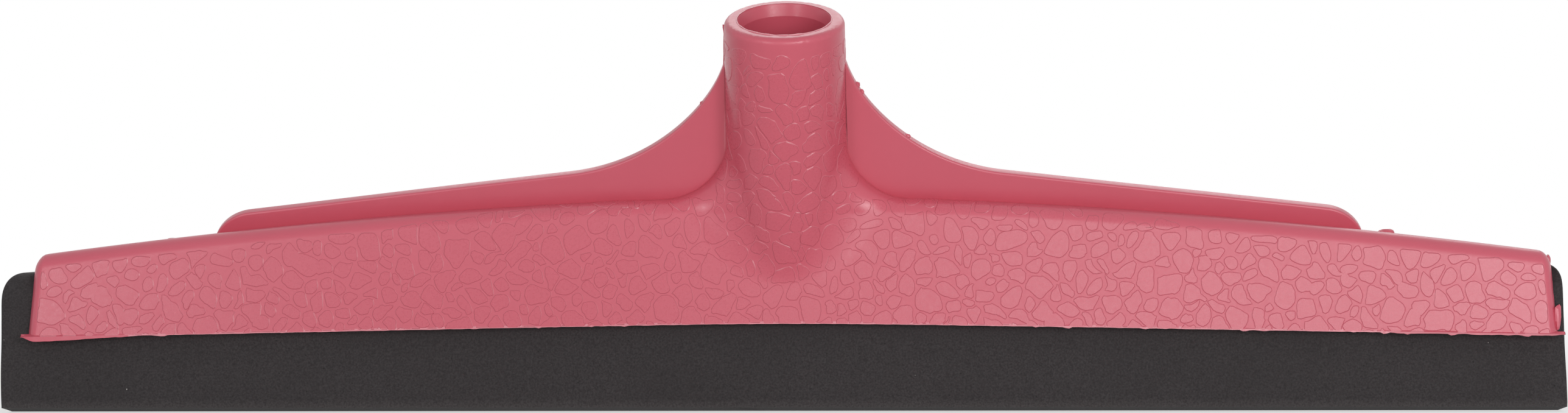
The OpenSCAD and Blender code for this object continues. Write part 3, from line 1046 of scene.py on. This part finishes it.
def blade_mesh():
    outer, inner, grooves = blade_paths()
    half = (blade_high[0] - blade_low[0]) / 2
    middle = (blade_high[0] + blade_low[0]) / 2
    lip = np.array([(SLOT_HALF + lip_bend(0) + LAND_W, 0)])
    ends = half - np.array(END_ROWS)
    x = np.concatenate([-ends, spaced((-half + ROW_START, half - ROW_START, ROW_STEP)), ends[::-1]])
    shrink = np.interp(half - np.abs(x), *END_ROUND)
    rows = []
    for xi, tight in zip(x, shrink):
        near = step(DRAW_RUN, 0, half - abs(xi))
        fade = step(HOUSE_HALF - TOOTH_SHORT / 2, HOUSE_HALF - TOOTH_SHORT, abs(xi + middle))
        puff = LEFT_PUFF if xi < 0 else RIGHT_PUFF
        shape = (LEFT_FOOT, LEFT_LEAN, LEFT_CORNER) if xi < 0 else (RIGHT_FOOT, RIGHT_LEAN, RIGHT_CORNER)
        puffed = step(PUFF_FROM, PUFF_TO, abs(xi + middle))
        o, i, l = outer.copy(), inner.copy(), lip.copy()
        o[grooves, 0] -= GROOVE * fade
        toward = (i - o) / np.linalg.norm(i - o, axis=1)[:, None]
        o += toward * tight
        i -= toward * tight
        l[:, 1] += tight
        i[0, 1] += tight
        loop = np.vstack([o, (o * [-1, 1])[-2::-1], l * [-1, 1], i * [-1, 1], i[-2::-1], l])
        loop[:, 1] += puff * puffed * step(SLOT_TOP, FOLD_TOP, loop[:, 1])
        y, z = loop[:, 0], loop[:, 1]
        row = np.stack([np.full(len(y), xi + middle), y, z], -1)
        row[:, 0] -= math.copysign(near, xi) * end_draw(z, FOLD_TOP + puff * puffed + CORNER_OVER, *shape)
        below = step(EDGE_END + 2, EDGE_END - 3, z) * step(0.2, 3, z)
        bump = sum(depth * noise(row, size, seed) for depth, size, seed in FOAM_BUMPS)
        bump = bump * (FOAM_HELD + (1 - FOAM_HELD) * below)
        row[:, 1] += np.sign(y) * bump * (np.abs(y) > SLOT_HALF + lip_bend(z) + 2)
        rows.append(row)
    n = len(rows[0])
    cap = blade_caps(len(outer), n)
    last = (len(rows) - 1) * n
    faces = bands(len(rows), n) + cap
    faces += [tuple(last + v for v in reversed(face)) for face in cap]
    return np.vstack(rows), faces


blade = add_solid("foam_strip", *blade_mesh())
shade(blade, 40)
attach(blade, "blade")
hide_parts("foam_blade")


# Core strip: a flat plastic strip with rounded edges and fine lengthwise lines
def core_mesh():
    half, half_t, half_h = (core_high - core_low) / 2
    mid_x, _, mid_z = (core_high + core_low) / 2
    r = CORE_EDGE_R
    ring = arc(half_t - r, -half_h + r, r, -90, 0, 4)
    for z in np.linspace(-half_h + CORE_LINE_MARGIN, half_h - CORE_LINE_MARGIN, CORE_LINES):
        ring += [(half_t, z - CORE_LINE_HALF), (half_t - CORE_LINE_DEPTH, z), (half_t, z + CORE_LINE_HALF)]
    ring += arc(half_t - r, half_h - r, r, 0, 90, 4)
    ring = np.array(ring + mirrored(ring))
    ends = half - np.array(CORE_ROWS)
    plain = np.linspace(-half + CORE_PLAIN, half - CORE_PLAIN, CORE_PLAIN_ROWS)
    rows = []
    for x in np.concatenate([-ends, plain, ends[::-1]]):
        gap = half - abs(x)
        thin = 1 - CORE_THINNED * step(0.5, 0, gap)
        drawn = 1 - math.sqrt(1 - max(0, 1 - gap / CORE_CORNER_R) ** 2)
        short = 1 - drawn * CORE_CORNER_R / half_h
        row = [np.full(len(ring), x + mid_x), ring[:, 0] * thin, ring[:, 1] * short + mid_z]
        rows.append(np.stack(row, -1))
    return rows


core = tube(core_mesh(), "core_strip_visual")
shade(core, 30)
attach(core, "core")
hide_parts("core_strip")


# Materials
class Graph:
    """Short forms for building a material's nodes."""

    def __init__(self, name):
        self.material = bpy.data.materials.new(name)
        self.material.use_nodes = True
        self.tree = self.material.node_tree
        self.shader = self.tree.nodes["Principled BSDF"]
        self.out = self.tree.nodes["Material Output"]

    def node(self, kind, settings=None, **inputs):
        made = self.tree.nodes.new(kind)
        for key, value in (settings or {}).items():
            setattr(made, key, value)
        for key, value in inputs.items():
            self.feed(made.inputs[key.replace("_", " ")], value)
        return made

    def feed(self, socket, value):
        if isinstance(value, bpy.types.NodeSocket):
            self.tree.links.new(value, socket)
        else:
            socket.default_value = value

    def place(self):
        return self.node("ShaderNodeTexCoord").outputs["Object"]

    def math(self, operation, a, b=0.0):
        made = self.node("ShaderNodeMath", {"operation": operation})
        self.feed(made.inputs[0], a)
        self.feed(made.inputs[1], b)
        return made.outputs[0]

    def ramp(self, value, low, high, to_low=0.0, to_high=1.0):
        made = self.node("ShaderNodeMapRange", Value=value, From_Min=low, From_Max=high)
        self.feed(made.inputs["To Min"], to_low)
        self.feed(made.inputs["To Max"], to_high)
        return made.outputs["Result"]

    def mix(self, share, a, b):
        made = self.node("ShaderNodeMix", {"data_type": "RGBA"})
        for index, amount in ((0, share), (6, a), (7, b)):
            self.feed(made.inputs[index], amount)
        return made.outputs[2]

    def noise(self, size, detail=2.0, rough=0.5):
        """Noise with features about that many millimetres across."""
        made = self.node("ShaderNodeTexNoise", Vector=self.place(), Scale=1 / (size * MM), Detail=detail)
        made.inputs["Roughness"].default_value = rough
        return made.outputs["Fac"]

    def specks(self, spacing, radius):
        """Sparse round specks, as a share from 0 to 1."""
        made = self.node("ShaderNodeTexVoronoi", Vector=self.place(), Scale=1 / (spacing * MM))
        return self.ramp(made.outputs["Distance"], radius / spacing, 0.7 * radius / spacing)

    def attribute(self, name):
        return self.node("ShaderNodeAttribute", {"attribute_name": name}).outputs["Fac"]

    def bump(self, height, depth, strength=1.0):
        made = self.node("ShaderNodeBump", Height=height, Distance=depth * MM, Strength=strength)
        self.tree.links.new(made.outputs["Normal"], self.shader.inputs["Normal"])


def housing_material():
    g = Graph("pink_plastic")
    relief = g.attribute("relief")
    film = g.attribute("film")
    broad = g.ramp(g.noise(70, 3), 0.3, 0.7)
    colour = g.mix(broad, PINK_DEEP, PINK)
    # Painted highlight: the foot of each island's step is lightened
    foot = g.math("MULTIPLY", g.ramp(relief, 0.01, 0.1), g.ramp(relief, 0.45, 0.3))
    colour = g.mix(g.math("MULTIPLY", foot, 0.5), colour, PINK_STEP_HIGHLIGHT)
    # Painted shade: the upper part of each island's step is darkened
    line = g.math("MULTIPLY", g.ramp(relief, 0.4, 0.55), g.ramp(relief, 0.99, 0.85))
    colour = g.mix(g.math("MULTIPLY", line, 0.7), colour, PINK_STEP_SHADE)
    # Painted highlight on the thin film at the bottom edges and the mouth
    colour = g.mix(g.math("MULTIPLY", film, 0.75), colour, PINK_FILM_HIGHLIGHT)
    colour = g.mix(g.specks(34, 0.28), colour, PINK_SPECK)
    g.feed(g.shader.inputs["Base Color"], colour)
    fine = g.noise(0.9, 3)
    rough = g.ramp(relief, 0, 1, PINK_ROUGH, PINK_ROUGH_RAISED)
    g.feed(g.shader.inputs["Roughness"], g.math("ADD", rough, g.ramp(fine, 0.3, 0.7, -0.04, 0.04)))
    g.feed(g.shader.inputs["Specular IOR Level"], PINK_SPECULAR)
    g.bump(g.noise(2.4, 4, 0.6), 0.05, 0.5)
    return g.material


def foam_material():
    g = Graph("dark_foam")
    grain = g.noise(0.55, 3, 0.65)
    blotch = g.ramp(g.noise(26, 3), 0.3, 0.7)
    colour = g.mix(blotch, FOAM_DARK, FOAM_LIGHT)
    colour = g.mix(g.ramp(grain, 0.34, 0.66), FOAM_GRAIN, colour)
    colour = g.mix(g.specks(3.4, 0.3), colour, FOAM_PORE)
    height = g.node("ShaderNodeSeparateXYZ", Vector=g.place()).outputs["Z"]
    # Painted highlight: the lowest few millimetres of the blade are lightened
    edge_highlight = g.math("MULTIPLY", g.ramp(height, 4 * MM, 1.5 * MM), g.ramp(grain, 0.3, 0.6, 0.3, 1))
    colour = g.mix(g.math("MULTIPLY", edge_highlight, 0.75), colour, FOAM_EDGE_HIGHLIGHT)
    colour = g.mix(g.specks(13, 0.22), colour, FOAM_DUST)
    g.feed(g.shader.inputs["Base Color"], colour)
    g.feed(g.shader.inputs["Roughness"], g.ramp(grain, 0.3, 0.7, 0.95, 0.8))
    g.bump(grain, 0.12, 0.6)
    return g.material


def core_material():
    g = Graph("core_plastic")
    colour = g.mix(g.ramp(g.noise(18, 4), 0.3, 0.7), CORE_DARK, CORE_LIGHT)
    g.feed(g.shader.inputs["Base Color"], colour)
    g.feed(g.shader.inputs["Roughness"], g.ramp(g.noise(1.2, 3), 0.3, 0.7, 0.38, 0.5))
    g.bump(g.noise(0.8, 3), 0.03, 0.4)
    return g.material


def dress(thing, material):
    thing.data.materials.clear()
    thing.data.materials.append(material)


dress(housing, housing_material())
dress(blade, foam_material())
dress(core, core_material())

# Camera at the photograph's viewing angle
cam = bpy.data.objects.new("camera", bpy.data.cameras.new("camera"))
bpy.context.scene.collection.objects.link(cam)
cam.data.sensor_width = CAMERA_SENSOR
cam.data.lens = CAMERA_LENS
cam.location = CAMERA_PLACE
cam.rotation_euler = [math.radians(turn) for turn in CAMERA_TURNS]
cam.data.clip_start = 0.05
cam.data.clip_end = 50
bpy.context.scene.camera = cam


# Pale floor and world, white to the camera; the floor keeps part of the object's shadow
def seen(tree):
    """1 for rays that show the background: from the camera, a reflection or through glass."""
    path = tree.nodes.new("ShaderNodeLightPath")
    total = path.outputs["Is Camera Ray"]
    for name in ("Is Glossy Ray", "Is Transmission Ray"):
        made = tree.nodes.new("ShaderNodeMath")
        made.operation = "MAXIMUM"
        tree.links.new(total, made.inputs[0])
        tree.links.new(path.outputs[name], made.inputs[1])
        total = made.outputs[0]
    return total


def floor_material():
    g = Graph("floor_white")
    g.feed(g.shader.inputs["Base Color"], FLOOR_WHITE)
    g.feed(g.shader.inputs["Roughness"], 0.9)
    reach = g.node("ShaderNodeVectorMath", {"operation": "LENGTH"}, Vector=g.place())
    white = g.ramp(reach.outputs["Value"], 0.3, 1.0, 0.6, 1.0)
    glow = g.node("ShaderNodeEmission", Color=WHITE, Strength=1.0)
    both = g.node("ShaderNodeMixShader")
    g.feed(both.inputs[0], g.math("MULTIPLY", seen(g.tree), white))
    g.feed(both.inputs[1], g.shader.outputs["BSDF"])
    g.feed(both.inputs[2], glow.outputs["Emission"])
    g.feed(g.out.inputs["Surface"], both.outputs["Shader"])
    return g.material


f = FLOOR_HALF
floor = add_object("floor", [(-f, -f, 0), (f, -f, 0), (f, f, 0), (-f, f, 0)], [(0, 1, 2, 3)])
dress(floor, floor_material())

world = bpy.data.worlds.new("studio")
bpy.context.scene.world = world
world.use_nodes = True
sky = world.node_tree.nodes["Background"]
sky.inputs["Color"].default_value = WHITE
level = world.node_tree.nodes.new("ShaderNodeMapRange")
world.node_tree.links.new(seen(world.node_tree), level.inputs["Value"])
level.inputs["To Min"].default_value = WORLD_LIGHT
level.inputs["To Max"].default_value = 1.0
world.node_tree.links.new(level.outputs["Result"], sky.inputs["Strength"])


def lamp(name, place, target, size, power):
    data = bpy.data.lights.new(name, "AREA")
    data.shape = "RECTANGLE"
    data.size, data.size_y = size
    data.energy = power
    thing = bpy.data.objects.new(name, data)
    bpy.context.scene.collection.objects.link(thing)
    thing.location = place
    thing.rotation_euler = (Vector(target) - Vector(place)).to_track_quat("-Z", "Y").to_euler()


lamp("right_front", (0.3, -1.1, 0.16), (0.05, 0, 0.04), (0.62, 0.38), 2.4)
lamp("side_right", (0.56, -0.97, 0.27), (0.02, 0, 0.05), (0.2, 0.5), 2.45)
lamp("rear", (0.1, 0.9, 0.9), (0, 0, 0.05), (1, 0.5), 3.0)
lamp("side_left", (-0.53, -0.98, 0.27), (-0.02, 0, 0.05), (0.2, 0.5), 1.65)

bpy.context.scene.view_settings.view_transform = "Standard"
